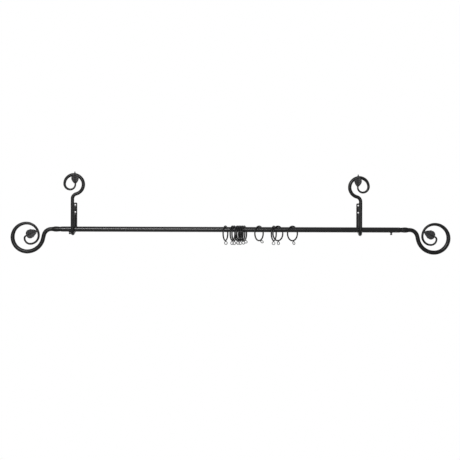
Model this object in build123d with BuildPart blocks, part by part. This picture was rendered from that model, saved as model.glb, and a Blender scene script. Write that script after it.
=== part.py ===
from build123d import *
import os
from math import asin, atan, cos, degrees, pi, radians, sin, sqrt

# Black iron curtain rod: two joined tubes lying in a pair of scrolled hook brackets,
# with a scrolled finial clamped in each end and twelve rings hanging between the brackets.
# Millimetres. X runs along the rod to the right, Y into the wall and Z up.
# The origin lies on the wall, at the centre of the four wall-screw holes.

# Rod
tube_d = 19.0
tube_wall = 1.5
left_tube_length = 802.0
right_tube_length = 417.0
rod_from_wall = 70.0
rod_below_screws = 76.0
joiner_length = 160.0
joiner_wall = 1.6
joiner_clearance = 0.1

# Clamping screws under the tube ends
screw_inset = 30.5
screw_beside_hook = 0.6
screw_d = 5.0
screw_clearance = 0.3
weld_nut_width = 8.0
weld_nut_height = 2.4
nut_sides = 6
screw_neck = 1.2
screw_head_d = 7.8
screw_head_height = 5.2
screw_head_squares = 3

# Finials: ferrule, scroll and leaf
ferrule_shank_length = 58.0
ferrule_clearance = 0.3
ferrule_neck_d = 17.2
ferrule_neck_length = 6.0
ferrule_swell_d = 19.4
ferrule_swell_start = 14.0
ferrule_swell_end = 27.0
ferrule_length = 36.0
finial_bar_d = 15.0
finial_drop_radius = 28.0
finial_drop_turn = 77.0
finial_drop_straight = 14.0
# Centreline radius, degrees turned and bar diameter reached, from the foot of the scroll inwards.
finial_scroll = (
    (59.0, finial_drop_turn, finial_bar_d),
    (52.0, 90.0, finial_bar_d),
    (50.0, 90.0, 10.5),
    (44.0, 90.0, 8.2),
    (30.5, 90.0, 7.2),
    (20.5, 90.0, 6.8),
    (9.0, 66.0, 6.2),
)
finial_turn_count_to_leaf = 3
finial_leaf_length = 51.0
finial_leaf_width = 37.0
# Half outlines of the leaves, as shares of the half width and of the length.
finial_leaf_edge = (
    (0.0, 0.07), (0.40, 0.03), (0.80, 0.15), (1.0, 0.30), (0.94, 0.40),
    (0.96, 0.50), (0.72, 0.62), (0.50, 0.76), (0.18, 0.86), (0.0, 1.0),
)

# Brackets: wall plate, hook bar with its scroll, and leaf
bracket_spacing = 1035.0
plate_width = 14.0
plate_thickness = 4.0
plate_corner = 2.5
plate_above_screws = 21.0
plate_below_rod = 6.0
wall_screw_spacing = 26.0
wall_screw_hole_d = 5.2
hook_bar_d = 12.5
cradle_gap = 0.4
arm_slope = 13.0
wall_bend_radius = 16.0
weld_flat = 0.8
weld_top_above_rod = 52.0
left_stem_top_above_rod = 109.0
right_stem_top_above_rod = 101.0
neck_bend_radius = 18.0
neck_bend_turn = 75.0
# Centreline radius, degrees turned and bar diameter reached, from the neck inwards.
bracket_scroll = (
    (35.0, neck_bend_turn, hook_bar_d),
    (35.0, 90.0, hook_bar_d),
    (32.5, 90.0, 9.5),
    (20.5, 90.0, 7.4),
    (18.0, 90.0, 6.0),
)
bracket_turn_count_to_leaf = 1
bracket_leaf_length = 50.0
bracket_leaf_width = 29.0
bracket_leaf_edge = (
    (0.0, 0.05), (0.34, 0.09), (0.80, 0.28), (1.0, 0.44), (0.94, 0.58),
    (0.58, 0.68), (0.30, 0.76), (0.14, 0.88), (0.0, 1.0),
)

# Leaves of both kinds
leaf_thickness = 1.6
leaf_fold = 22.0
leaf_rib_tip_d = 1.8
leaf_rib_share = 0.94
leaf_gap = 1.0

# Rings and their eyelets
ring_outer_d = 57.2
ring_wire_d = 5.2
ring_gap = 0.3
ring_sides = 18
eyelet_outer_d = 13.5
eyelet_wire_d = 2.9
eyelet_sides = 8
# Place along the rod, degrees turned about the vertical and degrees rolled round the rod.
ring_places = (
    (32.3, -18.6, 8.0),
    (57.8, -19.0, -8.0),
    (64.2, -19.0, 0.0),
    (75.2, -19.0, 11.0),
    (81.4, -19.0, -16.0),
    (87.7, -19.0, -8.0),
    (93.9, -19.0, 16.0),
    (100.2, -19.0, 30.0),
    (153.4, -36.5, 32.0),
    (206.6, -21.6, -4.0),
    (221.3, -45.0, 5.0),
    (273.9, -45.7, 12.0),
)

# Round bars are drawn many-sided, with a section at every step of a bend.
bar_sides = 12
collar_sides = 16
bend_step = 18.0
quarter_turn = 90.0

rod_y = -rod_from_wall
rod_z = -rod_below_screws
screw_half_width = max(screw_head_d, weld_nut_width) / 2
left_screw_x = -bracket_spacing / 2 - hook_bar_d / 2 - screw_beside_hook - screw_half_width
rod_left_end = left_screw_x - screw_inset
rod_joint = rod_left_end + left_tube_length
rod_right_end = rod_joint + right_tube_length
bore_d = tube_d - 2 * tube_wall
screw_hole_d = screw_d + 2 * screw_clearance
shank_d = bore_d - 2 * ferrule_clearance
nut_face = tube_d / 2 + weld_nut_height
front = Vector(0, -1, 0)

# Each end of the rod: its name, the tube's start and length, its end and the outward direction.
rod_ends = (
    ("left", rod_left_end, left_tube_length, rod_left_end, -1),
    ("right", rod_joint, right_tube_length, rod_right_end, 1),
)
# Each bracket: its name, its place along the rod, the way its scroll turns and the height of its stem.
brackets = (
    ("left", -bracket_spacing / 2, 1, left_stem_top_above_rod),
    ("right", bracket_spacing / 2, -1, right_stem_top_above_rod),
)

os.makedirs("parts", exist_ok=True)


def save(piece, name):
    """Labels a finished piece and writes it under its name."""
    piece.part.label = name
    export_step(piece.part, f"parts/{name}.step")


def upright_plane(x, y, z, toward):
    """A plane that faces along the wall's normal, with local X pointing left or right and local Y up."""
    return Plane(origin=(x, y, z), x_dir=(toward, 0, 0), z_dir=(0, -toward, 0))


def screw_place(end, outward):
    """The plane square to a clamping screw, on the rod's axis and facing down."""
    return Plane(origin=(end - outward * screw_inset, rod_y, rod_z), x_dir=(1, 0, 0), z_dir=(0, 0, -1))


def bar_section(place, diameter, sides=bar_sides):
    """One many-sided section of a bar."""
    with BuildSketch(place) as section:
        RegularPolygon(radius=diameter / 2, side_count=sides)
    return section.sketch


def sections_along(edge, across, start_d, end_d):
    """Sections from just after an edge's start to its end, evenly spaced round a bend."""
    steps = 1
    if edge.geom_type == GeomType.CIRCLE:
        steps = max(1, round(degrees(edge.length / edge.radius) / bend_step))
    found = []
    for step in range(1, steps + 1):
        share = step / steps
        place = Plane(origin=edge @ share, x_dir=across(edge % share), z_dir=edge % share)
        found.append(bar_section(place, start_d + share * (end_d - start_d)))
    return found


def scroll_arcs(last, bends):
    """The tangent arcs that carry an edge on into a scroll, in the plane of the open line builder."""
    arcs = []
    for radius, turn, reached in bends:
        last = JernArc(start=last @ 1, tangent=last % 1, radius=radius, arc_size=turn)
        arcs.append(last)
    return arcs


def make_leaf(bar_end, tangent, base_d, lean, length, width, edge_shares):
    """A beaten leaf, folded along its rib, that grows out of a bar's end and leans to the front."""
    along = tangent * cos(radians(lean)) + front * sin(radians(lean))
    normal = front * cos(radians(lean)) - tangent * sin(radians(lean))
    sideways = along.cross(normal)
    rib_length = base_d / 2 + leaf_rib_share * length
    rib_taper = degrees(atan((base_d - leaf_rib_tip_d) / 2 * cos(pi / bar_sides) / rib_length))
    with BuildPart() as leaf:
        for side in (-1, 1):
            out = sideways * (side * cos(radians(leaf_fold))) + normal * sin(radians(leaf_fold))
            with BuildSketch(Plane(origin=bar_end, x_dir=out, z_dir=out.cross(along))):
                with BuildLine():
                    Polyline(*[(a * width / 2, b * length) for a, b in edge_shares], close=True)
                make_face()
            extrude(amount=leaf_thickness / 2, both=True)
        rib_foot = Plane(origin=bar_end - along * (base_d / 2), x_dir=normal, z_dir=along)
        extrude(bar_section(rib_foot, base_d), amount=rib_length, taper=rib_taper)
        split(bisect_by=Plane(origin=bar_end, z_dir=tangent), keep=Keep.TOP)
    return leaf


def make_wire_loop(place, outer_d, wire_d, sides):
    """A closed loop of wire: a flat many-sided ring with its edges taken off to an eight-sided section."""
    with BuildPart() as loop:
        with BuildSketch(place.offset(-wire_d / 2)):
            RegularPolygon(outer_d / 2, sides, major_radius=False, rotation=180 / sides)
            RegularPolygon(
                outer_d / 2 - wire_d, sides, major_radius=False, rotation=180 / sides, mode=Mode.SUBTRACT
            )
        extrude(amount=wire_d)
        chamfer(loop.faces().filter_by(place).edges(), wire_d / (2 + sqrt(2)))
    return loop


# Rod tubes, each with a hole for the clamping screw in its lower wall
for name, start, length, end, outward in rod_ends:
    with BuildPart() as tube:
        with BuildSketch(Plane.YZ.offset(start)):
            with Locations((rod_y, rod_z)):
                Circle(tube_d / 2)
                Circle(bore_d / 2, mode=Mode.SUBTRACT)
        extrude(amount=length)
        with BuildSketch(screw_place(end, outward)):
            Circle(screw_hole_d / 2)
        extrude(amount=tube_d, mode=Mode.SUBTRACT)
    save(tube, f"{name}_tube")

# Sleeve inside the two tubes, half its length in each
with BuildPart() as joiner:
    with BuildSketch(Plane.YZ.offset(rod_joint - joiner_length / 2)):
        with Locations((rod_y, rod_z)):
            Circle(bore_d / 2 - joiner_clearance)
            Circle(bore_d / 2 - joiner_clearance - joiner_wall, mode=Mode.SUBTRACT)
    extrude(amount=joiner_length)
save(joiner, "tube_joiner")

# Hexagon nuts welded under the tube ends, saddled to the tube
for name, start, length, end, outward in rod_ends:
    with BuildPart() as weld_nut:
        with BuildSketch(screw_place(end, outward)):
            RegularPolygon(weld_nut_width / 2, nut_sides, major_radius=False, rotation=180 / nut_sides)
        extrude(amount=nut_face)
        with BuildSketch(screw_place(end, outward)):
            Circle(screw_hole_d / 2)
        extrude(amount=nut_face, mode=Mode.SUBTRACT)
        with BuildSketch(Plane.YZ.offset(end - outward * screw_inset)):
            with Locations((rod_y, rod_z)):
                Circle(tube_d / 2)
        extrude(amount=weld_nut_width, both=True, mode=Mode.SUBTRACT)
    save(weld_nut, f"{name}_weld_nut")

# Thumbscrews, tip against the ferrule's shank, with a star head
head_top = nut_face + screw_neck
for name, start, length, end, outward in rod_ends:
    place = screw_place(end, outward)
    with BuildPart() as thumbscrew:
        with BuildSketch(place.offset(head_top)):
            with PolarLocations(0, screw_head_squares, angular_range=quarter_turn):
                RegularPolygon(screw_head_d / 2, 4)
        extrude(amount=screw_head_height)
        with BuildSketch(place.offset(shank_d / 2 + screw_clearance)):
            Circle(screw_d / 2)
        extrude(amount=head_top - shank_d / 2 - screw_clearance)
    save(thumbscrew, f"{name}_thumbscrew")

# Finials
for name, start, length, end, outward in rod_ends:
    end_plane = upright_plane(end, rod_y, rod_z, outward)

    # Turned plug: a shank in the tube, a neck against the tube's end and a swelled collar
    end_face = Plane(origin=(end, rod_y, rod_z), x_dir=front, z_dir=(outward, 0, 0))
    collar = (
        (0, ferrule_neck_d),
        (ferrule_neck_length, ferrule_neck_d),
        (ferrule_swell_start, ferrule_swell_d),
        (ferrule_swell_end, ferrule_swell_d),
        (ferrule_length, finial_bar_d),
    )
    with BuildPart() as ferrule:
        extrude(bar_section(end_face, shank_d, collar_sides), amount=-ferrule_shank_length)
        collar_sections = [bar_section(end_face.offset(at), size, collar_sides) for at, size in collar]
        loft(sections=collar_sections, ruled=True)
    save(ferrule, f"{name}_finial_ferrule")

    # Bar that drops from the rod and rolls up into an open, tapering spiral
    with BuildLine(end_plane):
        drop = JernArc(
            start=(ferrule_length, 0), tangent=(1, 0), radius=finial_drop_radius, arc_size=-finial_drop_turn
        )
        fall = Line(drop @ 1, drop @ 1 + (drop % 1) * finial_drop_straight)
        scroll = scroll_arcs(fall, finial_scroll)
    scroll_sizes = [finial_bar_d] + [reached for radius, turn, reached in finial_scroll]
    sections = [bar_section(Plane(origin=drop @ 0, x_dir=front, z_dir=drop % 0), finial_bar_d)]
    for edge in (drop, fall):
        sections += sections_along(edge, lambda tangent: front, finial_bar_d, finial_bar_d)
    for edge, near_d, far_d in zip(scroll, scroll_sizes, scroll_sizes[1:]):
        sections += sections_along(edge, lambda tangent: front, near_d, far_d)
    with BuildPart() as finial_bar:
        loft(sections=sections, ruled=True)
    save(finial_bar, f"{name}_finial_scroll")

    # Leaf on the inner end, leaning out far enough for its tip to pass in front of the bar
    bar_end, heading = scroll[-1] @ 1, scroll[-1] % 1
    reach = scroll[finial_turn_count_to_leaf].distance_to(bar_end)
    clear = scroll_sizes[finial_turn_count_to_leaf] / 2 + leaf_rib_tip_d / 2 + leaf_gap
    finial_leaf = make_leaf(
        bar_end,
        heading,
        scroll_sizes[-1],
        degrees(asin(clear / reach)),
        finial_leaf_length,
        finial_leaf_width,
        finial_leaf_edge,
    )
    save(finial_leaf, f"{name}_finial_leaf")

# Brackets
cradle_radius = tube_d / 2 + cradle_gap + hook_bar_d / 2
stem_y = rod_y - cradle_radius
weld_y = -plate_thickness - hook_bar_d / 2 + weld_flat
plate_top = plate_above_screws
plate_bottom = rod_z - plate_below_rod
slope = radians(arm_slope)
arm_run = weld_y - wall_bend_radius * (1 - sin(slope)) - rod_y - cradle_radius * sin(slope)
arm_length = arm_run / cos(slope)
wall_bend_z = rod_z - cradle_radius * cos(slope) + arm_length * sin(slope) + wall_bend_radius * cos(slope)

for name, x, inward, stem_top in brackets:
    # Flat strap against the wall, with two screw holes
    with BuildPart() as wall_plate:
        with BuildSketch(Plane(origin=(x, 0, 0), x_dir=(1, 0, 0), z_dir=(0, -1, 0))) as strap:
            with Locations((0, (plate_top + plate_bottom) / 2)):
                Rectangle(plate_width, plate_top - plate_bottom)
            chamfer(strap.vertices(), plate_corner)
        extrude(amount=plate_thickness)
        with Locations(Plane(origin=(x, -plate_thickness, 0), x_dir=(1, 0, 0), z_dir=(0, -1, 0))):
            with GridLocations(0, wall_screw_spacing, 1, 2):
                Hole(wall_screw_hole_d / 2, depth=plate_thickness)
    save(wall_plate, f"{name}_wall_plate")

    # Bar from the weld on the plate, forward and under the rod, and up in front of it
    with BuildLine(Plane.YZ.offset(x)):
        weld_run = Line((weld_y, rod_z + weld_top_above_rod), (weld_y, wall_bend_z))
        wall_bend = JernArc(
            start=weld_run @ 1,
            tangent=weld_run % 1,
            radius=wall_bend_radius,
            arc_size=arm_slope - quarter_turn,
        )
        arm = Line(wall_bend @ 1, wall_bend @ 1 + (wall_bend % 1) * arm_length)
        cradle = JernArc(
            start=arm @ 1, tangent=arm % 1, radius=cradle_radius, arc_size=-quarter_turn - arm_slope
        )
        stem = Line(cradle @ 1, cradle @ 1 + Vector(0, 0, stem_top))
    hook_edges = [weld_run, wall_bend, arm, cradle, stem]
    # The same bar above the rod: a neck to the inner side, then a tapering scroll back over it
    with BuildLine(upright_plane(x, stem_y, rod_z, inward)):
        neck = JernArc(start=stem @ 1, tangent=stem % 1, radius=neck_bend_radius, arc_size=-neck_bend_turn)
        scroll = scroll_arcs(neck, bracket_scroll)
    scroll_sizes = [hook_bar_d] + [reached for radius, turn, reached in bracket_scroll]
    rod_way = Vector(1, 0, 0)
    start_plane = Plane(origin=weld_run @ 0, x_dir=rod_way.cross(weld_run % 0), z_dir=weld_run % 0)
    sections = [bar_section(start_plane, hook_bar_d)]
    for edge in hook_edges:
        sections += sections_along(edge, lambda tangent: rod_way.cross(tangent), hook_bar_d, hook_bar_d)
    sections += sections_along(neck, lambda tangent: front, hook_bar_d, hook_bar_d)
    for edge, near_d, far_d in zip(scroll, scroll_sizes, scroll_sizes[1:]):
        sections += sections_along(edge, lambda tangent: front, near_d, far_d)
    with BuildPart() as hook_bar:
        loft(sections=sections, ruled=True)
        split(bisect_by=Plane(origin=(x, -plate_thickness, 0), z_dir=(0, -1, 0)), keep=Keep.TOP)
    save(hook_bar, f"{name}_hook_bar")

    # Leaf on the scroll's inner end, standing up in front of the bar that arches over it
    bar_end, heading = scroll[-1] @ 1, scroll[-1] % 1
    reach = scroll[bracket_turn_count_to_leaf].distance_to(bar_end)
    clear = scroll_sizes[bracket_turn_count_to_leaf] / 2 + leaf_rib_tip_d / 2 + leaf_gap
    bracket_leaf = make_leaf(
        bar_end,
        heading,
        scroll_sizes[-1],
        degrees(asin(clear / reach)),
        bracket_leaf_length,
        bracket_leaf_width,
        bracket_leaf_edge,
    )
    save(bracket_leaf, f"{name}_bracket_leaf")

# Rings hanging on the rod, each with a crosswise eyelet welded to its lowest flat
ring_z = rod_z + tube_d / 2 + ring_gap - (ring_outer_d / 2 - ring_wire_d)
for number, (x, turn, roll) in enumerate(ring_places, start=1):
    ring_centre = Vector(x, rod_y, ring_z)
    ring_axis = Vector(1, 0, 0).rotate(Axis.Z, turn)
    down = Vector(0, 0, -1).rotate(Axis((0, 0, 0), ring_axis), roll)
    ring = make_wire_loop(
        Plane(origin=ring_centre, x_dir=down, z_dir=ring_axis), ring_outer_d, ring_wire_d, ring_sides
    )
    save(ring, f"ring_{number:02d}")
    eyelet_centre = ring_centre + down * (ring_outer_d / 2 + eyelet_outer_d / 2)
    eyelet = make_wire_loop(
        Plane(origin=eyelet_centre, x_dir=down, z_dir=down.cross(ring_axis)),
        eyelet_outer_d,
        eyelet_wire_d,
        eyelet_sides,
    )
    save(eyelet, f"eyelet_{number:02d}")
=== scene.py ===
from math import asin, ceil, cos, exp, pi, radians, sin, sqrt, tan

import bmesh
import bpy
import numpy as np
from bpy.props import FloatProperty, FloatVectorProperty, IntProperty, PointerProperty
from bpy.types import Operator, Panel, PropertyGroup
from mathutils import Matrix, Vector, noise


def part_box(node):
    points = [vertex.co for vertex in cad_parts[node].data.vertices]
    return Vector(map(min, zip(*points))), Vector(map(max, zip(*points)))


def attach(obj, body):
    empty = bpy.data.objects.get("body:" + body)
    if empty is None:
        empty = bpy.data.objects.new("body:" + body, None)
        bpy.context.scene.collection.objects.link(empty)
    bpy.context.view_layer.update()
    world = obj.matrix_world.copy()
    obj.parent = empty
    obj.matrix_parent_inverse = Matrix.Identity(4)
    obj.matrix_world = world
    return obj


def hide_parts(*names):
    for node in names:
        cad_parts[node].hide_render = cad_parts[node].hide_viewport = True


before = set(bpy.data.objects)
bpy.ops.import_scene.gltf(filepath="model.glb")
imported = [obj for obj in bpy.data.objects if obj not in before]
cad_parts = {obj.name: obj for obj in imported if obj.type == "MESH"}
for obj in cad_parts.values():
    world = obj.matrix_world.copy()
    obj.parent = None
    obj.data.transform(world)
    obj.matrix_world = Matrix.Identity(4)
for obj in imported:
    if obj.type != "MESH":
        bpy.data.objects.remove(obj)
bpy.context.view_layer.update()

bl_info = {
    "name": "Iron Curtain Rod",
    "version": (1, 0, 0),
    "blender": (4, 5, 0),
    "location": "View3D > Sidebar > Curtain Rod",
    "description": "Dresses a black iron curtain rod with scrolled brackets, finials and rings",
    "category": "Object",
}

MM = 0.001
# Points closer than this, in metres, are merged
MERGE = 1e-6
# Angles between two faces: above the first the edge shows, above the next two it is rounded,
# and below the last the faces become one
SHARP_EDGE = radians(35)
SCREW_RIM = radians(60)
PLATE_RIM = radians(30)
PLATE_FLAT = radians(1)
SIDES = ("left", "right")
OUTWARD = {"left": -1, "right": 1}
TUBE_BODY = {"left": "rod", "right": "right_rod"}
FRONT = Vector((0, -1, 0))
UP = Vector((0, 0, 1))
ALONG_ROD = Vector((1, 0, 0))

# Places read from the frame, in metres
TUBE_LOW, TUBE_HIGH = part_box("left_tube")
ROD_CENTRE = (TUBE_LOW + TUBE_HIGH) / 2
ROD_RADIUS = (TUBE_HIGH.z - TUBE_LOW.z) / 2
ROD_END = {"left": TUBE_LOW.x, "right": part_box("right_tube")[1].x}
RING_NUMBERS = sorted(name[-2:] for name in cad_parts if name.startswith("ring_"))

# Scrolls from their outer bend inwards: centre-line radius, degrees turned and bar diameter reached, in mm
FINIAL_SCROLL = (
    (59.0, 77.0, 15.0),
    (52.0, 90.0, 15.0),
    (50.0, 90.0, 10.5),
    (44.0, 90.0, 8.2),
    (30.5, 90.0, 7.2),
    (20.5, 90.0, 6.8),
    (9.0, 66.0, 6.2),
)
BRACKET_SCROLL = (
    (35.0, 75.0, 12.5),
    (35.0, 90.0, 12.5),
    (32.5, 90.0, 9.5),
    (20.5, 90.0, 7.4),
    (18.0, 90.0, 6.0),
)
# The turn of each scroll that the leaf passes in front of
FINIAL_CROSSED_TURN = 3
BRACKET_CROSSED_TURN = 1
# Half outlines of the leaves, as shares of the half width and of the length
FINIAL_LEAF_EDGE = (
    (0.0, 0.07), (0.40, 0.03), (0.80, 0.15), (1.0, 0.30), (0.94, 0.40),
    (0.96, 0.50), (0.72, 0.62), (0.50, 0.76), (0.18, 0.86), (0.0, 1.0),
)
BRACKET_LEAF_EDGE = (
    (0.0, 0.05), (0.34, 0.09), (0.80, 0.28), (1.0, 0.44), (0.94, 0.58),
    (0.58, 0.68), (0.30, 0.76), (0.14, 0.88), (0.0, 1.0),
)

# Steps along the straight runs of the bars, and along each half of the collar's swell
DROP_STEPS = 6
WELD_STEPS = 12
ARM_STEPS = 8
STEM_STEPS = 24
PLATE_BEAD_STEPS = 90
RIB_STEPS = 12
SWELL_STEPS = 12
# Steps round the turned and looped forms, and round their bars and wires
COLLAR_SIDES = 72
SHANK_SIDES = 40
NUT_BEAD_STEPS, NUT_BEAD_SIDES = 64, 12
PLATE_BEAD_SIDES = 14
RING_STEPS, RING_SIDES = 96, 20
EYELET_STEPS, EYELET_SIDES = 48, 16
RIB_SIDES = 20
# Unevenness that forging and welding leave: depth and size in metres
FINIAL_FORGING = (0.25 * MM, 14 * MM)
HOOK_FORGING = (0.2 * MM, 14 * MM)
NUT_WELD_LUMPS = (0.25 * MM, 1.1 * MM)
PLATE_WELD_LUMPS = (0.45 * MM, 1.6 * MM)
# Where a thread's crest starts and ends, as shares of the pitch
THREAD_CREST = (0.45, 0.55)
# Welds, as shares of their radius: out from the nut, out from the bar, off the plate, and the first radius
NUT_BEAD_OUT = 0.3
PLATE_BEAD_OUT = 0.7
PLATE_BEAD_OFF = 0.45
PLATE_BEAD_START = 0.6
# Width, depth and height of the weld dab under a ring, as shares of its radius
DAB_SHAPE = (1.25, 1.0, 0.55)
# Leaves: cuts of each first edge, and rounds of smoothing at the outline and inside it
LEAF_CUTS = 7
EDGE_ROUNDS = 8
FIELD_ROUNDS = 6
# Side veins: how steeply they climb, their width as a share of the pitch, and where they have come in
# and faded out again, as shares of the leaf's width from the rib
VEIN_RISE = 0.8
VEIN_WIDTH = 0.2
VEIN_IN, VEIN_OUT = 0.12, 0.52

# Surfaces: roughness, strength of the fine skin, strength of the dents and gloss
SURFACES = {
    "rod_black": (0.22, 0.04, 0.03, 0.23),
    "iron_black": (0.30, 0.16, 0.22, 0.16),
    "leaf_black": (0.36, 0.20, 0.35, 0.22),
    "ring_black": (0.30, 0.14, 0.10, 0.20),
    "screw_black": (0.32, 0.14, 0.04, 0.25),
    "eyelet_grey": (0.36, 0.12, 0.10, 0.5),
    "sleeve_steel": (0.5, 0.15, 0.0, 0.5),
}
# Scales of the paint's pattern on drawn tube, which is stretched along the rod
ROD_STRETCH = (0.06, 1.0, 1.0)
SLEEVE_STRETCH = (0.05, 1.0, 1.0)
# Noise in the paint: scale and detail of the tone's patches, the uneven sheen, the skin and the dents
PATCHES = (90, 5)
UNEVEN_SHEEN = (160, 4)
SKIN = (900, 3)
DENTS = (120, 1)
# Where the noise gives the darkest and the palest tone, and how many times the paint's colour each is
DARK_PATCH, PALE_PATCH = (0.3, 0.65), (0.7, 1.4)
# How far the roughness goes up and down, and the depths of the skin and the dents in metres
SHEEN_SPREAD = 0.09
SKIN_DEPTH = 0.4 * MM
DENT_DEPTH = 1.2 * MM
# Tone of the painted shade on the leaf's veins and rib as a share of the leaf's colour, bare metal in the
# eyelets' rubbed wire, roughness of the floor
VEIN_PAINTED_SHADE = 0.05
WORN_METAL = 0.25
FLOOR_ROUGHNESS = 0.9

# Lamps: place and sides in metres, direction of the first side and share of the lamp power
LAMPS = {
    "left_softbox": ((-1.05, -2.77, 1.22), (1.0, 0.45), (1.0, 0.0, 0.0), 1.2),
    "slanted_softbox": ((-0.22, -2.75, 1.15), (0.74, 0.45), (1.0, -0.2, -0.25), 0.55),
    "low_softbox": ((-1.5, -4.6, 0.1), (0.5, 0.8), (1.0, 0.0, 0.0), 0.2),
    "front_softbox": ((-0.35, -5.0, 0.25), (0.8, 2.0), (1.0, 0.0, 0.0), 0.9),
}
# Each lamp looks at the rod's axis, at this share of the lamp's own place along the rod
LAMP_AIM = 0.5


def length(title, default, about):
    """A length property in metres, from a default in millimetres."""
    return FloatProperty(name=title, description=about, default=default * MM, unit="LENGTH", precision=4)


def angle(title, default, about):
    """An angle property, from a default in degrees."""
    return FloatProperty(name=title, description=about, default=radians(default), subtype="ANGLE")


def shade(title, default, about):
    """A colour property in linear values."""
    return FloatVectorProperty(
        name=title, description=about, default=default, subtype="COLOR", size=3, min=0, max=1
    )


def fraction(title, default, about):
    """A property without a unit, from 0 to 1."""
    return FloatProperty(name=title, description=about, default=default, subtype="FACTOR", min=0, max=1)


class RodSizes(PropertyGroup):
    """Sizes of the tubes, the sleeve and the clamping screws."""

    tube_wall: length("Tube wall", 1.5, "Thickness of the rod's tube")
    tube_sides: IntProperty(name="Tube sides", description="Steps round the tube", default=96, min=24)
    rim_round: length("Rim rounding", 0.35, "Rounding of the tube's cut ends")
    sleeve_wall: length("Sleeve wall", 1.6, "Thickness of the sleeve inside the tubes")
    screw_diameter: length("Screw diameter", 5.0, "Diameter of the clamping screws")
    thread_pitch: length("Thread pitch", 0.8, "Distance between the screw's threads")
    thread_depth: length("Thread depth", 0.35, "Depth of the screw's threads")
    head_height: length("Head height", 5.2, "Height of the screw's star head")
    head_points: IntProperty(name="Head points", description="Points of the star head", default=12, min=6)
    head_valley: fraction("Head valley", 0.84, "Share of the radius between points")
    head_edge: length("Head edge", 0.35, "Rounding of the star head's edges")
    shank_sunk: length("Shank sunk", 0.3, "How far the shank reaches into the head")
    bead: length("Weld bead", 0.9, "Radius of the weld round each nut")


class FinialSizes(PropertyGroup):
    """Sizes of the finials."""

    shank_length: length("Shank length", 58.0, "Length of the plug inside the tube")
    shank_diameter: length("Shank diameter", 15.4, "Diameter of the plug inside the tube")
    shank_lead: length("Shank lead", 1.0, "Bevel of the plug's inner end")
    neck_edge: length("Neck edge", 0.4, "Bevel of the neck's edges")
    neck_diameter: length("Neck diameter", 17.2, "Diameter of the collar's neck")
    neck_length: length("Neck length", 6.0, "Length of the collar's neck")
    swell_diameter: length("Swell diameter", 19.4, "Diameter of the collar's swell")
    swell_at: length("Swell place", 20.0, "Distance of the widest swell from the tube")
    collar_length: length("Collar length", 36.0, "Length of the whole collar")
    bar_diameter: length("Bar diameter", 15.0, "Diameter of the bar before it tapers")
    drop_radius: length("Drop radius", 28.0, "Bend where the bar turns down from the rod")
    drop_turn: angle("Drop turn", 77.0, "How far the bar turns down")
    drop_straight: length("Drop straight", 14.0, "Straight run between the two bends")
    leaf_length: length("Leaf length", 51.0, "Length of the finial's leaf")
    leaf_width: length("Leaf width", 37.0, "Width of the finial's leaf")


class BracketSizes(PropertyGroup):
    """Sizes of the brackets."""

    bar_diameter: length("Bar diameter", 12.5, "Diameter of the hook's bar")
    cradle_gap: length("Cradle gap", 0.4, "Play between the rod and the hook")
    arm_slope: angle("Arm slope", 13.0, "Rise of the arm towards the wall")
    wall_bend: length("Wall bend", 16.0, "Bend between the arm and the plate")
    weld_flat: length("Weld flat", 0.8, "Depth of the flat where the bar meets the plate")
    weld_top: length("Weld top", 52.0, "Height of the bar's welded end above the rod")
    crown: length("Crown", 1.0, "Bevel of the bar's sawn end")
    left_stem: length("Left stem", 109.0, "Height of the left stem above the rod")
    right_stem: length("Right stem", 101.0, "Height of the right stem above the rod")
    neck_radius: length("Neck radius", 18.0, "Bend between the stem and the scroll")
    neck_turn: angle("Neck turn", 75.0, "How far the neck turns aside")
    leaf_length: length("Leaf length", 50.0, "Length of the bracket's leaf")
    leaf_width: length("Leaf width", 29.0, "Width of the bracket's leaf")
    plate_edge: length("Plate edge", 0.5, "Rounding of the plate's edges")
    bead: length("Weld bead", 1.7, "Radius of the weld along the plate")
    bead_drop: length("Bead drop", 3.0, "How far the weld starts below the bar's end")
    bead_lead: length("Bead lead", 1.0, "Length over which the weld comes to its full radius")


class LeafSizes(PropertyGroup):
    """Sizes that both kinds of leaf share."""

    thickness: length("Thickness", 1.4, "Thickness of the beaten sheet")
    fold: angle("Fold", 22.0, "How far each half is folded forward")
    rib_tip: length("Rib tip", 1.8, "Diameter of the rib at the leaf's tip")
    rib_share: fraction("Rib share", 0.94, "Share of the leaf that the rib reaches")
    gap: length("Gap", 1.0, "Play between the leaf and the bar behind it")
    vein_pitch: length("Vein pitch", 8.0, "Distance between side veins")
    vein_height: length("Vein height", 0.55, "Height of the side veins")
    dent: length("Dents", 0.35, "Depth of the hammer marks")
    dent_size: length("Dent size", 5.0, "Width of the hammer marks")


class RingSizes(PropertyGroup):
    """Sizes of the rings and their eyelets."""

    ring_diameter: length("Ring diameter", 57.2, "Outer diameter of a ring")
    ring_wire: length("Ring wire", 5.2, "Diameter of a ring's wire")
    eyelet_diameter: length("Eyelet diameter", 13.5, "Outer diameter of an eyelet")
    eyelet_wire: length("Eyelet wire", 2.9, "Diameter of an eyelet's wire")
    dab: length("Weld dab", 1.7, "Radius of the weld between ring and eyelet")


class FinishColours(PropertyGroup):
    """Colours of the finishes and of the floor."""

    rod: shade("Rod", (0.0022, 0.0022, 0.0025), "Satin black of the tubes")
    iron: shade("Iron", (0.0022, 0.0022, 0.0024), "Satin black of the forged bars")
    leaf: shade("Leaf", (0.042, 0.042, 0.0435), "Worn black of the leaves")
    ring: shade("Ring", (0.0022, 0.0022, 0.0024), "Satin black of the rings")
    eyelet: shade("Eyelet", (0.085, 0.085, 0.088), "Worn wire of the eyelets")
    sleeve: shade("Sleeve", (0.13, 0.13, 0.135), "Plain steel of the sleeve")
    floor: shade("Floor", (0.86, 0.86, 0.86), "Pale colour of the floor")


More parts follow.
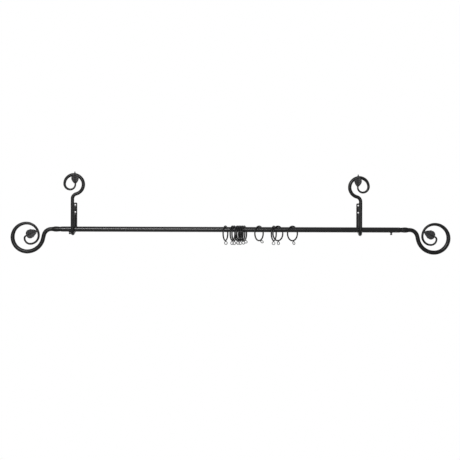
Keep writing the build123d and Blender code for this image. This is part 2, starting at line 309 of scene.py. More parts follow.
class StageSizes(PropertyGroup):
    """Camera, light and floor."""

    camera_x: length("Camera place", 48.7, "Place of the camera along the rod")
    camera_drop: length("Camera drop", 1.7, "How far the camera stands below the rod's axis")
    camera_distance: length("Camera distance", 4450.0, "Distance from the camera to the rod")
    view_width: length("View width", 1658.0, "Width that the picture takes in at the rod")
    camera_roll: angle("Camera roll", 0.17, "Turn of the camera about its own line of sight")
    floor_drop: length("Floor drop", 1250.0, "Depth of the floor below the rod")
    floor_size: length("Floor size", 60000.0, "Width of the floor")
    lamp_power: FloatProperty(
        name="Lamp power",
        description="Power that each lamp takes its share of",
        default=52.0,
        subtype="POWER",
    )
    fill: fraction("Fill", 0.12, "Strength of the soft light from all round")


class CurtainRodSettings(PropertyGroup):
    """All settings of the curtain rod."""

    rod: PointerProperty(type=RodSizes)
    finial: PointerProperty(type=FinialSizes)
    bracket: PointerProperty(type=BracketSizes)
    leaf: PointerProperty(type=LeafSizes)
    ring: PointerProperty(type=RingSizes)
    colours: PointerProperty(type=FinishColours)
    stage: PointerProperty(type=StageSizes)


class BarTip:
    """The open end of a round bar while it is drawn out, run by run and bend by bend."""

    def __init__(self, mesh, place, heading, across, radius, sides=28):
        self.mesh = mesh
        self.place = Vector(place)
        self.heading = Vector(heading).normalized()
        self.radius = radius
        turn = Matrix((across, self.heading.cross(across), self.heading)).transposed().to_4x4()
        made = bmesh.ops.create_circle(
            mesh, segments=sides, radius=radius, matrix=Matrix.Translation(self.place) @ turn
        )
        self.rim = list({edge for vert in made["verts"] for edge in vert.link_edges})
        self.first_rim = list(self.rim)

    def draw_out(self):
        """Extrudes the rim and gives back the new end's vertices."""
        made = bmesh.ops.extrude_edge_only(self.mesh, edges=self.rim)["geom"]
        self.rim = [item for item in made if isinstance(item, bmesh.types.BMEdge) and item.is_boundary]
        return list({vert for edge in self.rim for vert in edge.verts})

    def resize(self, verts, radius):
        """Brings the end to a new radius about its centre."""
        share = radius / self.radius
        bmesh.ops.scale(
            self.mesh, vec=(share, share, share), space=Matrix.Translation(-self.place), verts=verts
        )
        self.radius = radius

    def run(self, distance, radius=None, steps=1):
        """Goes straight on, to a new radius if one is given."""
        near = self.radius
        far = near if radius is None else radius
        for step in range(1, steps + 1):
            verts = self.draw_out()
            move = self.heading * (distance / steps)
            bmesh.ops.translate(self.mesh, vec=move, verts=verts)
            self.place = self.place + move
            self.resize(verts, near + (far - near) * step / steps)

    def bend(self, axis, bend_radius, turn, radius=None, step_turn=radians(3.0)):
        """Turns about an axis by the right-hand rule, to a new bar radius if one is given."""
        near = self.radius
        far = near if radius is None else radius
        centre = self.place + axis.cross(self.heading).normalized() * bend_radius
        steps = max(1, ceil(turn / step_turn))
        spin = Matrix.Rotation(turn / steps, 3, axis)
        for step in range(1, steps + 1):
            verts = self.draw_out()
            bmesh.ops.rotate(self.mesh, cent=centre, matrix=spin, verts=verts)
            self.place = centre + spin @ (self.place - centre)
            self.heading = spin @ self.heading
            self.resize(verts, near + (far - near) * step / steps)

    def dome(self, height, steps=4):
        """Ends the bar in a low dome."""
        start = self.radius
        last = 0.0
        for step in range(1, steps + 1):
            at = sin(pi / 2 * step / (steps + 1))
            self.run((at - last) * height, start * cos(pi / 2 * step / (steps + 1)))
            last = at
        bmesh.ops.contextual_create(self.mesh, geom=self.rim)

    def close_start(self):
        """Closes the first end flat."""
        bmesh.ops.contextual_create(self.mesh, geom=self.first_rim)


def settings():
    """The scene's curtain rod settings."""
    return bpy.context.scene.curtain_rod


def ease_edges(mesh, sharper_than, rounding):
    """Rounds the edges that are sharper than an angle."""
    rims = [edge for edge in mesh.edges if edge.calc_face_angle(0) > sharper_than]
    bmesh.ops.bevel(mesh, geom=rims, offset=rounding, affect="EDGES", segments=2, profile=0.5, material=-1)


def roughen(mesh, depth, size):
    """Moves the surface in and out a little, as forging and welding leave it."""
    mesh.normal_update()
    for vert in mesh.verts:
        vert.co = vert.co + vert.normal * (depth * noise.noise(vert.co / size))


def close_up(mesh):
    """Merges doubled points and turns all faces outwards."""
    bmesh.ops.remove_doubles(mesh, verts=mesh.verts[:], dist=MERGE)
    bmesh.ops.recalc_face_normals(mesh, faces=mesh.faces[:])


def spin_round(mesh, geometry, centre, axis, steps):
    """Spins points and edges once round an axis."""
    bmesh.ops.spin(
        mesh, geom=geometry, cent=centre, axis=axis, dvec=(0, 0, 0), angle=2 * pi, steps=steps, use_merge=True
    )
    close_up(mesh)


def turn_profile(mesh, points, origin, axis, across, steps, closed=False):
    """Spins a profile, given as distances along and from an axis, into a turned form."""
    verts = [mesh.verts.new(origin + axis * along + across * out) for along, out in points]
    edges = [mesh.edges.new(pair) for pair in zip(verts, verts[1:])]
    if closed:
        edges.append(mesh.edges.new((verts[-1], verts[0])))
    spin_round(mesh, verts + edges, origin, axis, steps)


def spin_circle(mesh, circle, centre, axis, steps):
    """Spins a circle of points once round an axis into a closed loop."""
    edges = list({edge for vert in circle for edge in vert.link_edges})
    spin_round(mesh, circle + edges, centre, axis, steps)


def rounded_tube(low, high, outer, wall, rim):
    """The closed profile of a tube with rounded cut ends and straight walls between them."""
    inner = outer - wall
    corner = rim / 3
    hold = 3 * rim
    return (
        (low + hold, outer), (low + rim, outer), (low + corner, outer - corner), (low, outer - rim),
        (low, inner + rim), (low + corner, inner + corner), (low + rim, inner), (low + hold, inner),
        (high - hold, inner), (high - rim, inner), (high - corner, inner + corner), (high, inner + rim),
        (high, outer - rim), (high - corner, outer - corner), (high - rim, outer), (high - hold, outer),
    )


def finish_piece(name, mesh, slot, body, nodes):
    """Turns a bmesh into a piece with a slot's finish that rides on a body and stands for its nodes."""
    data = bpy.data.meshes.new(name)
    mesh.to_mesh(data)
    mesh.free()
    for polygon in data.polygons:
        polygon.use_smooth = True
    data.set_sharp_from_angle(angle=SHARP_EDGE)
    data.materials.append(finish(slot))
    piece = bpy.data.objects.new(name, data)
    bpy.context.scene.collection.objects.link(piece)
    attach(piece, body)
    if nodes:
        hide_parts(*nodes)


def cad_points(node):
    """The separate corner points of a CAD node."""
    points = np.array([vert.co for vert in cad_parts[node].data.vertices])
    return np.unique(points.round(decimals=7), axis=0)


def loop_place(node):
    """The centre and the axis of a CAD loop, from its points."""
    points = cad_points(node)
    centre = points.mean(axis=0)
    axis = np.linalg.svd(points - centre)[2][-1]
    return Vector(centre), Vector(axis).normalized()


def painted_iron(name, colour, rough, grain, dents, gloss, stretch=(1.0, 1.0, 1.0)):
    """Satin black paint on iron: uneven tone and gloss, a fine skin and the dents under it."""
    material = bpy.data.materials.new(name)
    material.use_nodes = True
    tree = material.node_tree
    paint = tree.nodes["Principled BSDF"]
    place = tree.nodes.new("ShaderNodeTexCoord")
    mapping = tree.nodes.new("ShaderNodeMapping")
    mapping.inputs["Scale"].default_value = stretch
    tree.links.new(place.outputs["Object"], mapping.inputs["Vector"])

    def speckle(scale, detail):
        texture = tree.nodes.new("ShaderNodeTexNoise")
        texture.inputs["Scale"].default_value = scale
        texture.inputs["Detail"].default_value = detail
        tree.links.new(mapping.outputs["Vector"], texture.inputs["Vector"])
        return texture.outputs["Fac"]

    tone = tree.nodes.new("ShaderNodeValToRGB")
    for element, (position, strength) in zip(tone.color_ramp.elements, (DARK_PATCH, PALE_PATCH)):
        element.position = position
        element.color = (*[strength * part for part in colour], 1)
    tree.links.new(speckle(*PATCHES), tone.inputs["Fac"])
    tree.links.new(tone.outputs["Color"], paint.inputs["Base Color"])

    sheen = tree.nodes.new("ShaderNodeMapRange")
    sheen.inputs["To Min"].default_value = rough - SHEEN_SPREAD
    sheen.inputs["To Max"].default_value = rough + SHEEN_SPREAD
    tree.links.new(speckle(*UNEVEN_SHEEN), sheen.inputs["Value"])
    tree.links.new(sheen.outputs["Result"], paint.inputs["Roughness"])

    skin = tree.nodes.new("ShaderNodeBump")
    skin.inputs["Strength"].default_value = grain
    skin.inputs["Distance"].default_value = SKIN_DEPTH
    tree.links.new(speckle(*SKIN), skin.inputs["Height"])
    hammer = tree.nodes.new("ShaderNodeBump")
    hammer.inputs["Strength"].default_value = dents
    hammer.inputs["Distance"].default_value = DENT_DEPTH
    tree.links.new(speckle(*DENTS), hammer.inputs["Height"])
    tree.links.new(skin.outputs["Normal"], hammer.inputs["Normal"])
    tree.links.new(hammer.outputs["Normal"], paint.inputs["Normal"])
    paint.inputs["Specular IOR Level"].default_value = gloss
    return material


def beaten_leaf(name, colour):
    """Leaf whose veins and rib are painted darker than its field, as painted shade."""
    material = painted_iron(name, colour, *SURFACES["leaf_black"])
    tree = material.node_tree
    paint = tree.nodes["Principled BSDF"]
    tone = paint.inputs["Base Color"].links[0].from_socket
    # Painted shade: where the layer is 0, on the veins and the rib, the tone drops to a small share of the
    # paint's colour
    unshaded_field = tree.nodes.new("ShaderNodeAttribute")
    unshaded_field.attribute_name = "unshaded_field"
    mix = tree.nodes.new("ShaderNodeMixRGB")
    mix.inputs["Color1"].default_value = (*[VEIN_PAINTED_SHADE * part for part in colour], 1)
    tree.links.new(unshaded_field.outputs["Fac"], mix.inputs["Fac"])
    tree.links.new(tone, mix.inputs["Color2"])
    tree.links.new(mix.outputs["Color"], paint.inputs["Base Color"])
    return material


def worn_wire(name, colour):
    """Wire whose black finish is rubbed through to grey metal."""
    material = painted_iron(name, colour, *SURFACES["eyelet_grey"])
    material.node_tree.nodes["Principled BSDF"].inputs["Metallic"].default_value = WORN_METAL
    return material


def plain_steel(name, colour):
    """Drawn steel tube, with fine lines along it."""
    material = painted_iron(name, colour, *SURFACES["sleeve_steel"], stretch=SLEEVE_STRETCH)
    material.node_tree.nodes["Principled BSDF"].inputs["Metallic"].default_value = 1.0
    return material


def make_finish(slot):
    """The finish that belongs to a material slot of the frame."""
    colours = settings().colours
    name = f"{slot}_finish"
    if slot == "rod_black":
        return painted_iron(name, colours.rod, *SURFACES[slot], stretch=ROD_STRETCH)
    if slot in ("iron_black", "screw_black"):
        return painted_iron(name, colours.iron, *SURFACES[slot])
    if slot == "leaf_black":
        return beaten_leaf(name, colours.leaf)
    if slot == "ring_black":
        return painted_iron(name, colours.ring, *SURFACES[slot])
    if slot == "eyelet_grey":
        return worn_wire(name, colours.eyelet)
    return plain_steel(name, colours.sleeve)


def finish(slot):
    """A slot's finish, made when it is first asked for."""
    return bpy.data.materials.get(f"{slot}_finish") or make_finish(slot)


class CURTAINROD_OT_tubes(Operator):
    """Make the rod's two tubes and the sleeve inside them"""

    bl_idname = "curtain_rod.tubes"
    bl_label = "Tubes and Sleeve"

    def execute(self, context):
        sizes = settings().rod
        axis_start = Vector((0, ROD_CENTRE.y, ROD_CENTRE.z))
        for side, body in TUBE_BODY.items():
            low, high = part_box(f"{side}_tube")
            mesh = bmesh.new()
            profile = rounded_tube(low.x, high.x, ROD_RADIUS, sizes.tube_wall, sizes.rim_round)
            turn_profile(mesh, profile, axis_start, ALONG_ROD, UP, sizes.tube_sides, closed=True)
            finish_piece(f"{side}_tube_drawn", mesh, "rod_black", body, [f"{side}_tube"])
        low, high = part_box("tube_joiner")
        mesh = bmesh.new()
        profile = rounded_tube(low.x, high.x, (high.z - low.z) / 2, sizes.sleeve_wall, sizes.rim_round)
        turn_profile(mesh, profile, axis_start, ALONG_ROD, UP, sizes.tube_sides, closed=True)
        finish_piece("joining_sleeve", mesh, "sleeve_steel", "rod", ["tube_joiner"])
        return {"FINISHED"}


class CURTAINROD_OT_clamps(Operator):
    """Make the thumbscrews under the rod's ends and the welds round their nuts"""

    bl_idname = "curtain_rod.clamps"
    bl_label = "Clamping Screws"

    def execute(self, context):
        sizes = settings().rod
        for side, body in TUBE_BODY.items():
            low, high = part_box(f"{side}_thumbscrew")
            self.make_screw(side, low, high, sizes)
            self.make_bead(side, body, (low + high) / 2, sizes)
            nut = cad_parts[f"{side}_weld_nut"]
            nut.data.materials.clear()
            nut.data.materials.append(finish("rod_black"))
        return {"FINISHED"}

    def make_screw(self, side, low, high, sizes):
        """A threaded shank with a star head at its lower end."""
        mesh = bmesh.new()
        centre = (low + high) / 2
        head_radius = (high.x - low.x) / 2
        made = bmesh.ops.create_circle(
            mesh,
            cap_ends=True,
            segments=2 * sizes.head_points,
            radius=head_radius,
            matrix=Matrix.Translation((centre.x, centre.y, low.z)),
        )
        bmesh.ops.scale(
            mesh,
            vec=(sizes.head_valley, sizes.head_valley, 1),
            space=Matrix.Translation((-centre.x, -centre.y, 0)),
            verts=made["verts"][1::2],
        )
        top = bmesh.ops.extrude_face_region(mesh, geom=mesh.faces[:])["geom"]
        top_verts = [item for item in top if isinstance(item, bmesh.types.BMVert)]
        bmesh.ops.translate(mesh, vec=UP * sizes.head_height, verts=top_verts)
        bmesh.ops.recalc_face_normals(mesh, faces=mesh.faces[:])
        ease_edges(mesh, SCREW_RIM, sizes.head_edge)
        shank = bmesh.new()
        radius = sizes.screw_diameter / 2
        start = low.z + sizes.head_height - sizes.shank_sunk
        count = int((high.z - start) / sizes.thread_pitch)
        profile = [(start, 0), (start, radius - sizes.thread_depth)]
        for thread in range(count):
            foot = start + thread * sizes.thread_pitch
            profile += [(foot + at * sizes.thread_pitch, radius) for at in THREAD_CREST]
            profile.append((foot + sizes.thread_pitch, radius - sizes.thread_depth))
        profile += [(high.z, radius - 2 * sizes.thread_depth), (high.z, 0)]
        turn_profile(shank, profile, Vector((centre.x, centre.y, 0)), UP, ALONG_ROD, SHANK_SIDES)
        self.join(mesh, shank)
        finish_piece(f"{side}_star_screw", mesh, "screw_black", f"{side}_screw", [f"{side}_thumbscrew"])

    def join(self, mesh, other):
        """Adds another bmesh's shape to the first."""
        data = bpy.data.meshes.new("joined")
        other.to_mesh(data)
        other.free()
        mesh.from_mesh(data)
        bpy.data.meshes.remove(data)

    def make_bead(self, side, body, centre, sizes):
        """A lumpy weld that follows the tube round the nut."""
        mesh = bmesh.new()
        nut_low, nut_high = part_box(f"{side}_weld_nut")
        out = (nut_high.x - nut_low.x) / 2 + NUT_BEAD_OUT * sizes.bead
        made = bmesh.ops.create_circle(
            mesh,
            segments=NUT_BEAD_SIDES,
            radius=sizes.bead,
            matrix=Matrix.Translation((centre.x + out, ROD_CENTRE.y, 0)) @ Matrix.Rotation(pi / 2, 4, "X"),
        )
        spin_circle(mesh, made["verts"], (centre.x, ROD_CENTRE.y, 0), UP, NUT_BEAD_STEPS)
        roughen(mesh, *NUT_WELD_LUMPS)
        for vert in mesh.verts:
            aside = min(abs(vert.co.y - ROD_CENTRE.y), ROD_RADIUS)
            vert.co.z += ROD_CENTRE.z - sqrt(ROD_RADIUS ** 2 - aside ** 2)
        finish_piece(f"{side}_nut_weld", mesh, "rod_black", body, [])


class CURTAINROD_OT_ferrules(Operator):
    """Make the turned plugs with their swelled collars"""

    bl_idname = "curtain_rod.ferrules"
    bl_label = "Finial Collars"

    def execute(self, context):
        sizes = settings().finial
        shank = sizes.shank_diameter / 2
        neck = sizes.neck_diameter / 2
        swell = sizes.swell_diameter / 2
        end = sizes.bar_diameter / 2
        plug = -sizes.shank_length
        lead = sizes.shank_lead
        rim = sizes.neck_edge
        profile = [
            (plug, 0), (plug, shank - lead), (plug + lead, shank),
            (0, shank), (0, neck - rim), (rim, neck), (sizes.neck_length - rim, neck),
        ]
        for step in range(SWELL_STEPS + 1):
            part = step / SWELL_STEPS
            along = sizes.neck_length + part * (sizes.swell_at - sizes.neck_length)
            profile.append((along, neck + (swell - neck) * sin(part * pi / 2)))
        for step in range(1, SWELL_STEPS + 1):
            part = step / SWELL_STEPS
            along = sizes.swell_at + part * (sizes.collar_length - sizes.swell_at)
            profile.append((along, end + (swell - end) * (0.5 + 0.5 * cos(part * pi))))
        profile.append((sizes.collar_length, 0))
        for side in SIDES:
            mesh = bmesh.new()
            origin = Vector((ROD_END[side], ROD_CENTRE.y, ROD_CENTRE.z))
            turn_profile(mesh, profile, origin, ALONG_ROD * OUTWARD[side], UP, COLLAR_SIDES)
            finish_piece(
                f"{side}_turned_collar", mesh, "iron_black", f"{side}_finial", [f"{side}_finial_ferrule"]
            )
        return {"FINISHED"}


def leaf_mesh(edge_shares, leaf_length, leaf_width, base_radius, sizes):
    """A beaten leaf with X across, Y along its rib and Z to the front."""
    mesh = bmesh.new()
    first, last = edge_shares[0][1], edge_shares[-1][1]
    for half in (-1, 1):
        inner = edge_shares[1:-1]
        rim = [mesh.verts.new((half * out * leaf_width / 2, at * leaf_length, 0)) for out, at in inner]
        spread = [first + (last - first) * (n + 1) / (len(inner) + 1) for n in range(len(inner))]
        rib = [mesh.verts.new((0, at * leaf_length, 0)) for at in spread]
        foot = mesh.verts.new((0, first * leaf_length, 0))
        tip = mesh.verts.new((0, last * leaf_length, 0))
        for n in range(len(inner) - 1):
            bmesh.ops.contextual_create(mesh, geom=[rim[n], rim[n + 1], rib[n + 1], rib[n]])
        bmesh.ops.contextual_create(mesh, geom=[foot, rim[0], rib[0]])
        bmesh.ops.contextual_create(mesh, geom=[tip, rim[-1], rib[-1]])
    bmesh.ops.remove_doubles(mesh, verts=mesh.verts[:], dist=MERGE)
    bmesh.ops.subdivide_edges(mesh, edges=mesh.edges[:], cuts=LEAF_CUTS, use_grid_fill=True)
    outline = [vert for vert in mesh.verts if vert.is_boundary]
    for _ in range(EDGE_ROUNDS):
        bmesh.ops.smooth_vert(mesh, verts=outline, factor=0.5, use_axis_x=True, use_axis_y=True)
    inside = [vert for vert in mesh.verts if not vert.is_boundary]
    for _ in range(FIELD_ROUNDS):
        bmesh.ops.smooth_vert(mesh, verts=inside, factor=0.5, use_axis_x=True, use_axis_y=True)
    # Painted shade: a layer that is 1 on the leaf's field and 0 on the side veins and on the rib drawn below
    unshaded_field = mesh.verts.layers.float.new("unshaded_field")
    for vert in mesh.verts:
        aside = abs(vert.co.x)
        along = (vert.co.y - VEIN_RISE * aside) / sizes.vein_pitch
        ridge = exp(-((along - round(along)) / VEIN_WIDTH) ** 2)
        fade = min(1.0, aside / (VEIN_IN * leaf_width)) * max(0.0, 1 - aside / (VEIN_OUT * leaf_width))
        dents = sizes.dent * noise.noise(vert.co / sizes.dent_size)
        vert.co.z = aside * tan(sizes.fold) + sizes.vein_height * ridge * fade + dents
        vert[unshaded_field] = 1 - ridge
    bmesh.ops.recalc_face_normals(mesh, faces=mesh.faces[:])
    bmesh.ops.solidify(mesh, geom=mesh.faces[:], thickness=sizes.thickness)
    lowest = min(vert.co.z for vert in mesh.verts if abs(vert.co.x) < MERGE)
    bmesh.ops.translate(mesh, vec=(0, 0, -lowest - sizes.thickness / 2), verts=mesh.verts[:])
    # The rib's points are 0 in that layer, so the rib is painted dark as shade too
    rib_bar = BarTip(mesh, (0, 0, 0), (0, 1, 0), Vector((1, 0, 0)), base_radius, sides=RIB_SIDES)
    rib_bar.close_start()
    rib_bar.run(sizes.rib_share * leaf_length, sizes.rib_tip / 2, steps=RIB_STEPS)
    rib_bar.dome(sizes.rib_tip / 2)
    return mesh


def place_leaf(mesh, tip, across_point, crossed_radius, sizes):
    """Moves a leaf to a scroll's tip, leaning out far enough to pass in front of the bar it crosses."""
    clear = crossed_radius + sizes.rib_tip / 2 + sizes.gap
    lean = asin(clear / across_point)
    along = tip.heading * cos(lean) + FRONT * sin(lean)
    normal = FRONT * cos(lean) - tip.heading * sin(lean)
    turn = Matrix((along.cross(normal), along, normal)).transposed().to_4x4()
    bmesh.ops.transform(mesh, matrix=Matrix.Translation(tip.place) @ turn, verts=mesh.verts[:])


def draw_scroll(bar, axis, scroll):
    """Carries a bar on through a scroll, and gives each bend's centre, radius and first bar radius."""
    bends = []
    for bend_radius, turn, reached in scroll:
        centre = bar.place + axis.cross(bar.heading).normalized() * (bend_radius * MM)
        bends.append((centre, bend_radius * MM, bar.radius))
        bar.bend(axis, bend_radius * MM, radians(turn), reached / 2 * MM)
    return bends


def make_leaf(name, tip, bends, crossed, shape, sizes, body, node):
    """Makes and places the leaf at the tip of a scroll."""
    edge_shares, leaf_length, leaf_width = shape
    centre, bend_radius, bar_radius = bends[crossed]
    reach = abs((tip.place - centre).length - bend_radius)
    mesh = leaf_mesh(edge_shares, leaf_length, leaf_width, tip.radius, sizes)
    place_leaf(mesh, tip, reach, bar_radius, sizes)
    finish_piece(name, mesh, "leaf_black", body, [node])


class CURTAINROD_OT_finials(Operator):
    """Make the finials' tapered scrolls and the leaves at their inner ends"""

    bl_idname = "curtain_rod.finials"
    bl_label = "Finial Scrolls and Leaves"

    def execute(self, context):
        sizes = settings().finial
        for side in SIDES:
            out = OUTWARD[side]
            mesh = bmesh.new()
            start = Vector((ROD_END[side] + out * sizes.collar_length, ROD_CENTRE.y, ROD_CENTRE.z))
            bar = BarTip(mesh, start, ALONG_ROD * out, FRONT, sizes.bar_diameter / 2)
            bar.close_start()
            down_axis = Vector((0, out, 0))
            bar.bend(down_axis, sizes.drop_radius, sizes.drop_turn)
            bar.run(sizes.drop_straight, steps=DROP_STEPS)
            bends = draw_scroll(bar, -down_axis, FINIAL_SCROLL)
            bmesh.ops.contextual_create(mesh, geom=bar.rim)
            bmesh.ops.recalc_face_normals(mesh, faces=mesh.faces[:])
            roughen(mesh, *FINIAL_FORGING)
            body = f"{side}_finial"
            finish_piece(f"{side}_scroll_bar", mesh, "iron_black", body, [f"{side}_finial_scroll"])
            shape = (FINIAL_LEAF_EDGE, sizes.leaf_length, sizes.leaf_width)
            make_leaf(
                f"{side}_beaten_leaf", bar, bends, FINIAL_CROSSED_TURN, shape, settings().leaf, body,
                f"{side}_finial_leaf",
            )
        return {"FINISHED"}


class CURTAINROD_OT_plates(Operator):
    """Make the wall plates with eased edges"""

    bl_idname = "curtain_rod.plates"
    bl_label = "Wall Plates"

    def execute(self, context):
        sizes = settings().bracket
        for side in SIDES:
            mesh = bmesh.new()
            mesh.from_mesh(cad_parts[f"{side}_wall_plate"].data)
            bmesh.ops.remove_doubles(mesh, verts=mesh.verts[:], dist=MERGE)
            bmesh.ops.dissolve_limit(
                mesh,
                angle_limit=PLATE_FLAT,
                verts=mesh.verts[:],
                edges=mesh.edges[:],
                use_dissolve_boundaries=False,
            )
            ease_edges(mesh, PLATE_RIM, sizes.plate_edge)
            finish_piece(f"{side}_wall_strap", mesh, "iron_black", "brackets", [f"{side}_wall_plate"])
        return {"FINISHED"}


class CURTAINROD_OT_hooks(Operator):
    """Make the brackets' bars from the weld to the scroll, their welds and their leaves"""

    bl_idname = "curtain_rod.hooks"
    bl_label = "Hook Bars and Leaves"

    def execute(self, context):
        sizes = settings().bracket
        for side in SIDES:
            plate_low, plate_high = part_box(f"{side}_wall_plate")
            plate_front = plate_low.y
            x = (plate_low.x + plate_high.x) / 2
            bar, bends = self.make_bar(side, x, plate_front, sizes)
            shape = (BRACKET_LEAF_EDGE, sizes.leaf_length, sizes.leaf_width)
            make_leaf(
                f"{side}_spear_leaf", bar, bends, BRACKET_CROSSED_TURN, shape, settings().leaf, "brackets",
                f"{side}_bracket_leaf",
            )
        return {"FINISHED"}

    def make_bar(self, side, x, plate_front, sizes):
        """One bar: down the plate, forward under the rod, up in front of it and over into a scroll."""
        radius = sizes.bar_diameter / 2
        cradle = ROD_RADIUS + sizes.cradle_gap + radius
        weld_y = plate_front - radius + sizes.weld_flat
        slope = sizes.arm_slope
        run = weld_y - sizes.wall_bend * (1 - sin(slope)) - ROD_CENTRE.y - cradle * sin(slope)
        arm = run / cos(slope)
        bend_z = ROD_CENTRE.z - cradle * cos(slope) + arm * sin(slope) + sizes.wall_bend * cos(slope)
        top_z = ROD_CENTRE.z + sizes.weld_top
        mesh = bmesh.new()
        bar = BarTip(mesh, (x, weld_y, top_z - sizes.crown), (0, 0, -1), ALONG_ROD, radius)
        self.crown_start(mesh, bar, sizes.crown)
        bar.run(top_z - sizes.crown - bend_z, steps=WELD_STEPS)
        bar.bend(-ALONG_ROD, sizes.wall_bend, pi / 2 - slope)
        bar.run(arm, steps=ARM_STEPS)
        bar.bend(-ALONG_ROD, cradle, pi / 2 + slope)
        stem = {"left": sizes.left_stem, "right": sizes.right_stem}
        bar.run(stem[side], steps=STEM_STEPS)
        inward = -OUTWARD[side]
        aside_axis = Vector((0, inward, 0))
        bar.bend(aside_axis, sizes.neck_radius, sizes.neck_turn)
        bends = draw_scroll(bar, -aside_axis, BRACKET_SCROLL)
        bmesh.ops.contextual_create(mesh, geom=bar.rim)
        bmesh.ops.recalc_face_normals(mesh, faces=mesh.faces[:])
        roughen(mesh, *HOOK_FORGING)
        bmesh.ops.contextual_create(mesh, geom=self.cut_at_plate(mesh, x, plate_front))
        bmesh.ops.recalc_face_normals(mesh, faces=mesh.faces[:])
        finish_piece(f"{side}_hook", mesh, "iron_black", "brackets", [f"{side}_hook_bar"])
        self.make_beads(side, x, plate_front, top_z, bend_z, radius, sizes)
        return bar, bends

    def crown_start(self, mesh, bar, crown):
        """Bevels the edge of the bar's sawn end."""
        first = bmesh.ops.contextual_create(mesh, geom=bar.first_rim)["faces"]
        bmesh.ops.inset_region(mesh, faces=first, thickness=crown, depth=crown)

    def cut_at_plate(self, mesh, x, plate_front):
        """Cuts off what would lie inside the plate, and gives the edges of the cut."""
        cut = bmesh.ops.bisect_plane(
            mesh,
            geom=mesh.verts[:] + mesh.edges[:] + mesh.faces[:],
            plane_co=(x, plate_front, 0),
            plane_no=(0, 1, 0),
            clear_outer=True,
        )
        return [item for item in cut["geom_cut"] if isinstance(item, bmesh.types.BMEdge)]

    def make_beads(self, side, x, plate_front, top_z, bend_z, radius, sizes):
        """The two welds that hold the bar to the plate."""
        mesh = bmesh.new()
        axis_gap = radius - sizes.weld_flat
        foot = sqrt(radius ** 2 - axis_gap ** 2)
        for half in (-1, 1):
            start = Vector((
                x + half * (foot + PLATE_BEAD_OUT * sizes.bead),
                plate_front - PLATE_BEAD_OFF * sizes.bead,
                top_z - sizes.bead_drop,
            ))
            first_radius = sizes.bead * PLATE_BEAD_START
            bead = BarTip(mesh, start, (0, 0, -1), ALONG_ROD, first_radius, sides=PLATE_BEAD_SIDES)
            bead.close_start()
            bead.run(sizes.bead_lead, sizes.bead)
            bead.run(start.z - bend_z, steps=PLATE_BEAD_STEPS)
            bead.dome(sizes.bead)
        bmesh.ops.recalc_face_normals(mesh, faces=mesh.faces[:])
        roughen(mesh, *PLATE_WELD_LUMPS)
        bmesh.ops.holes_fill(mesh, edges=self.cut_at_plate(mesh, x, plate_front), sides=0)
        bmesh.ops.recalc_face_normals(mesh, faces=mesh.faces[:])
        finish_piece(f"{side}_plate_weld", mesh, "iron_black", "brackets", [])


def wire_loop(mesh, centre, axis, start, outer, wire, steps, sides):
    """A closed loop of round wire."""
    middle = outer - wire
    turn = Matrix((start, axis, start.cross(axis))).transposed().to_4x4()
    made = bmesh.ops.create_circle(
        mesh, segments=sides, radius=wire, matrix=Matrix.Translation(centre + start * middle) @ turn
    )
    spin_circle(mesh, made["verts"], centre, axis, steps)


class CURTAINROD_OT_rings(Operator):
    """Make the rings and the eyelets welded under them"""

    bl_idname = "curtain_rod.rings"
    bl_label = "Rings and Eyelets"

    def execute(self, context):
        sizes = settings().ring
        for number in RING_NUMBERS:
            body = f"hanger_{number}"
            centre, axis = loop_place(f"ring_{number}")
            eyelet_centre, eyelet_axis = loop_place(f"eyelet_{number}")
            down = (eyelet_centre - centre).normalized()
            mesh = bmesh.new()
            outer, wire = sizes.ring_diameter / 2, sizes.ring_wire / 2
            wire_loop(mesh, centre, axis, down, outer, wire, RING_STEPS, RING_SIDES)
            finish_piece(f"round_ring_{number}", mesh, "ring_black", body, [f"ring_{number}"])
            touch = centre + down * outer
            mesh = bmesh.new()
            outer, wire = sizes.eyelet_diameter / 2, sizes.eyelet_wire / 2
            wire_loop(mesh, eyelet_centre, eyelet_axis, down, outer, wire, EYELET_STEPS, EYELET_SIDES)
            dab = bmesh.ops.create_uvsphere(
                mesh, u_segments=16, v_segments=10, radius=sizes.dab, matrix=Matrix.Translation(touch)
            )
            bmesh.ops.scale(mesh, vec=DAB_SHAPE, space=Matrix.Translation(-touch), verts=dab["verts"])
            finish_piece(f"wire_eyelet_{number}", mesh, "eyelet_grey", body, [f"eyelet_{number}"])
        return {"FINISHED"}


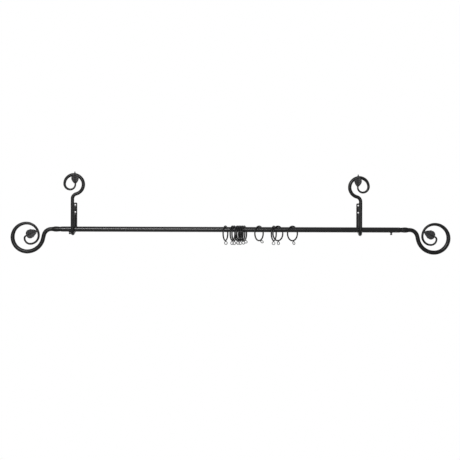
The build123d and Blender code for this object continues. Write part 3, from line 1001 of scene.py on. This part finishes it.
class CURTAINROD_OT_stage(Operator):
    """Set the floor, the lamps, the background and the camera"""

    bl_idname = "curtain_rod.stage"
    bl_label = "Stage"

    def execute(self, context):
        sizes = settings().stage
        self.make_floor(sizes)
        self.make_world(sizes)
        for name, (place, sides, along, share) in LAMPS.items():
            self.make_lamp(name, place, sides, along, share * sizes.lamp_power)
        self.make_camera(sizes)
        context.scene.view_settings.view_transform = "Standard"
        return {"FINISHED"}

    def seen_mix(self, tree, lit, seen):
        """Mixes two shaders so that what is looked at or mirrored is white, and the rest keeps its light."""
        path = tree.nodes.new("ShaderNodeLightPath")
        either = tree.nodes.new("ShaderNodeMath")
        either.operation = "MAXIMUM"
        tree.links.new(path.outputs["Is Camera Ray"], either.inputs[0])
        tree.links.new(path.outputs["Is Glossy Ray"], either.inputs[1])
        any_of = tree.nodes.new("ShaderNodeMath")
        any_of.operation = "MAXIMUM"
        tree.links.new(either.outputs["Value"], any_of.inputs[0])
        tree.links.new(path.outputs["Is Transmission Ray"], any_of.inputs[1])
        mix = tree.nodes.new("ShaderNodeMixShader")
        tree.links.new(any_of.outputs["Value"], mix.inputs["Fac"])
        tree.links.new(lit, mix.inputs[1])
        tree.links.new(seen, mix.inputs[2])
        return mix.outputs["Shader"]

    def make_floor(self, sizes):
        """A wide pale floor, well below the rod."""
        mesh = bmesh.new()
        bmesh.ops.create_grid(
            mesh,
            x_segments=1,
            y_segments=1,
            size=sizes.floor_size / 2,
            matrix=Matrix.Translation((0, 0, ROD_CENTRE.z - sizes.floor_drop)),
        )
        data = bpy.data.meshes.new("floor")
        mesh.to_mesh(data)
        mesh.free()
        material = bpy.data.materials.new("pale_floor")
        material.use_nodes = True
        tree = material.node_tree
        matt = tree.nodes["Principled BSDF"]
        matt.inputs["Base Color"].default_value = (*settings().colours.floor, 1)
        matt.inputs["Roughness"].default_value = FLOOR_ROUGHNESS
        white = tree.nodes.new("ShaderNodeEmission")
        shown = self.seen_mix(tree, matt.outputs["BSDF"], white.outputs["Emission"])
        tree.links.new(shown, tree.nodes["Material Output"].inputs["Surface"])
        data.materials.append(material)
        floor = bpy.data.objects.new("floor", data)
        bpy.context.scene.collection.objects.link(floor)

    def make_world(self, sizes):
        """A white background that lights the object softly."""
        world = bpy.data.worlds.new("white_room")
        bpy.context.scene.world = world
        world.use_nodes = True
        tree = world.node_tree
        soft = tree.nodes["Background"]
        soft.inputs["Color"].default_value = (1, 1, 1, 1)
        soft.inputs["Strength"].default_value = sizes.fill
        white = tree.nodes.new("ShaderNodeBackground")
        white.inputs["Color"].default_value = (1, 1, 1, 1)
        shown = self.seen_mix(tree, soft.outputs["Background"], white.outputs["Background"])
        tree.links.new(shown, tree.nodes["World Output"].inputs["Surface"])

    def make_lamp(self, name, place, size, along, power):
        """A soft rectangular lamp that looks at the rod, with its first side along a given direction."""
        data = bpy.data.lights.new(name, "AREA")
        data.shape = "RECTANGLE"
        data.size, data.size_y = size
        data.energy = power
        lamp = bpy.data.objects.new(name, data)
        lamp.location = place
        aim = Vector((LAMP_AIM * place[0], ROD_CENTRE.y, ROD_CENTRE.z))
        back = (Vector(place) - aim).normalized()
        upright = back.cross(Vector(along)).normalized()
        lamp.rotation_euler = Matrix((upright.cross(back), upright, back)).transposed().to_euler()
        lamp.visible_camera = False
        bpy.context.scene.collection.objects.link(lamp)

    def make_camera(self, sizes):
        """The camera, square to the rod and nearly level with it."""
        data = bpy.data.cameras.new("camera")
        data.sensor_fit = "HORIZONTAL"
        data.lens = data.sensor_width * sizes.camera_distance / sizes.view_width
        data.clip_end = sizes.floor_size
        camera = bpy.data.objects.new("camera", data)
        camera.location = (
            sizes.camera_x,
            ROD_CENTRE.y - sizes.camera_distance,
            ROD_CENTRE.z - sizes.camera_drop,
        )
        level = Matrix.Rotation(pi / 2, 4, "X") @ Matrix.Rotation(sizes.camera_roll, 4, "Z")
        camera.rotation_euler = level.to_euler()
        bpy.context.scene.collection.objects.link(camera)
        bpy.context.scene.camera = camera


OPERATORS = (
    CURTAINROD_OT_tubes,
    CURTAINROD_OT_clamps,
    CURTAINROD_OT_ferrules,
    CURTAINROD_OT_finials,
    CURTAINROD_OT_plates,
    CURTAINROD_OT_hooks,
    CURTAINROD_OT_rings,
    CURTAINROD_OT_stage,
)


class CURTAINROD_PT_sidebar(Panel):
    """Lists the steps that dress the curtain rod"""

    bl_label = "Curtain Rod"
    bl_idname = "CURTAINROD_PT_sidebar"
    bl_space_type = "VIEW_3D"
    bl_region_type = "UI"
    bl_category = "Curtain Rod"

    def draw(self, context):
        for operator in OPERATORS:
            self.layout.operator(operator.bl_idname)


GROUPS = (
    RodSizes,
    FinialSizes,
    BracketSizes,
    LeafSizes,
    RingSizes,
    FinishColours,
    StageSizes,
    CurtainRodSettings,
)
CLASSES = GROUPS + OPERATORS + (CURTAINROD_PT_sidebar,)


def register():
    for item in CLASSES:
        bpy.utils.register_class(item)
    bpy.types.Scene.curtain_rod = PointerProperty(type=CurtainRodSettings)


def unregister():
    del bpy.types.Scene.curtain_rod
    for item in reversed(CLASSES):
        bpy.utils.unregister_class(item)


def main():
    register()
    for operator in OPERATORS:
        group, name = operator.bl_idname.split(".")
        getattr(getattr(bpy.ops, group), name)()


if __name__ == "__main__":
    main()
